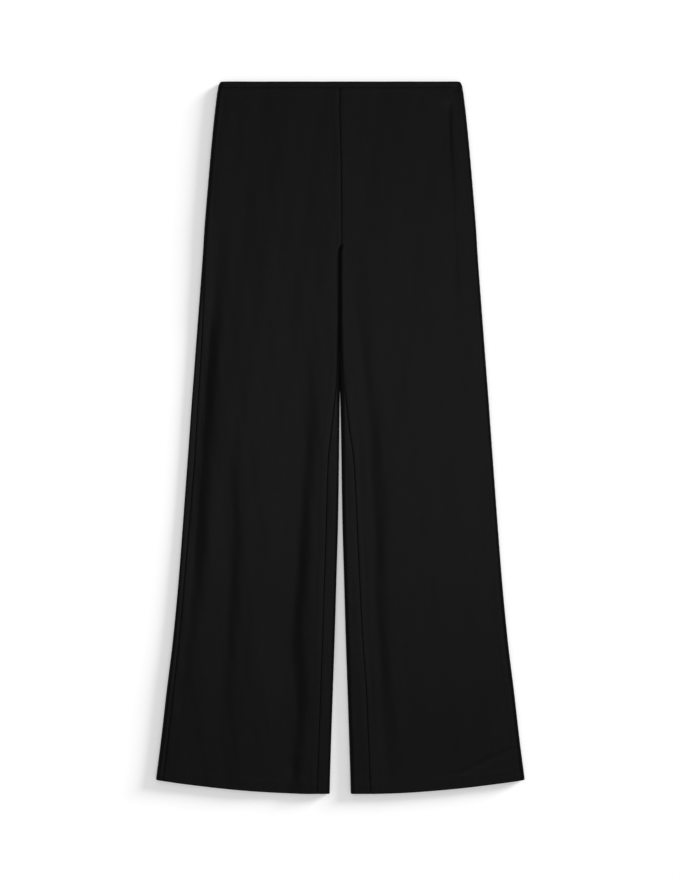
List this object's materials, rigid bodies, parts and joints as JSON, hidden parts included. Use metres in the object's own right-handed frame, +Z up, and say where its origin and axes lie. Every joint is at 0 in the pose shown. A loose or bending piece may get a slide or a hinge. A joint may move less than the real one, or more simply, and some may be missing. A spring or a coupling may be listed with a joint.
{
  "type": "wide-leg trousers",
  "caption": "Full-length wide-leg trousers in plain black crepe with a narrow waistband and plain hems, laid flat with the front side up.",
  "frame": {"origin": "on the surface the garment lies on, below the middle of its outline", "axes": "+X to the wearer's left, +Y along the garment towards the waist, +Z up out of the surface, through the front side"},
  "size_m": [0.5412, 1.045, 0.0092],
  "materials": {
    "cloth": "matt black crepe with a very fine pebbled weave and a faint soft sheen",
    "waistband": "the same matt black crepe, folded double"
  },
  "bodies": {
    "root": {"front_left": "cloth", "front_right": "cloth", "back_left": "cloth", "back_right": "cloth", "waistband_front": "waistband", "waistband_back": "waistband"}
  },
  "joints": []
}
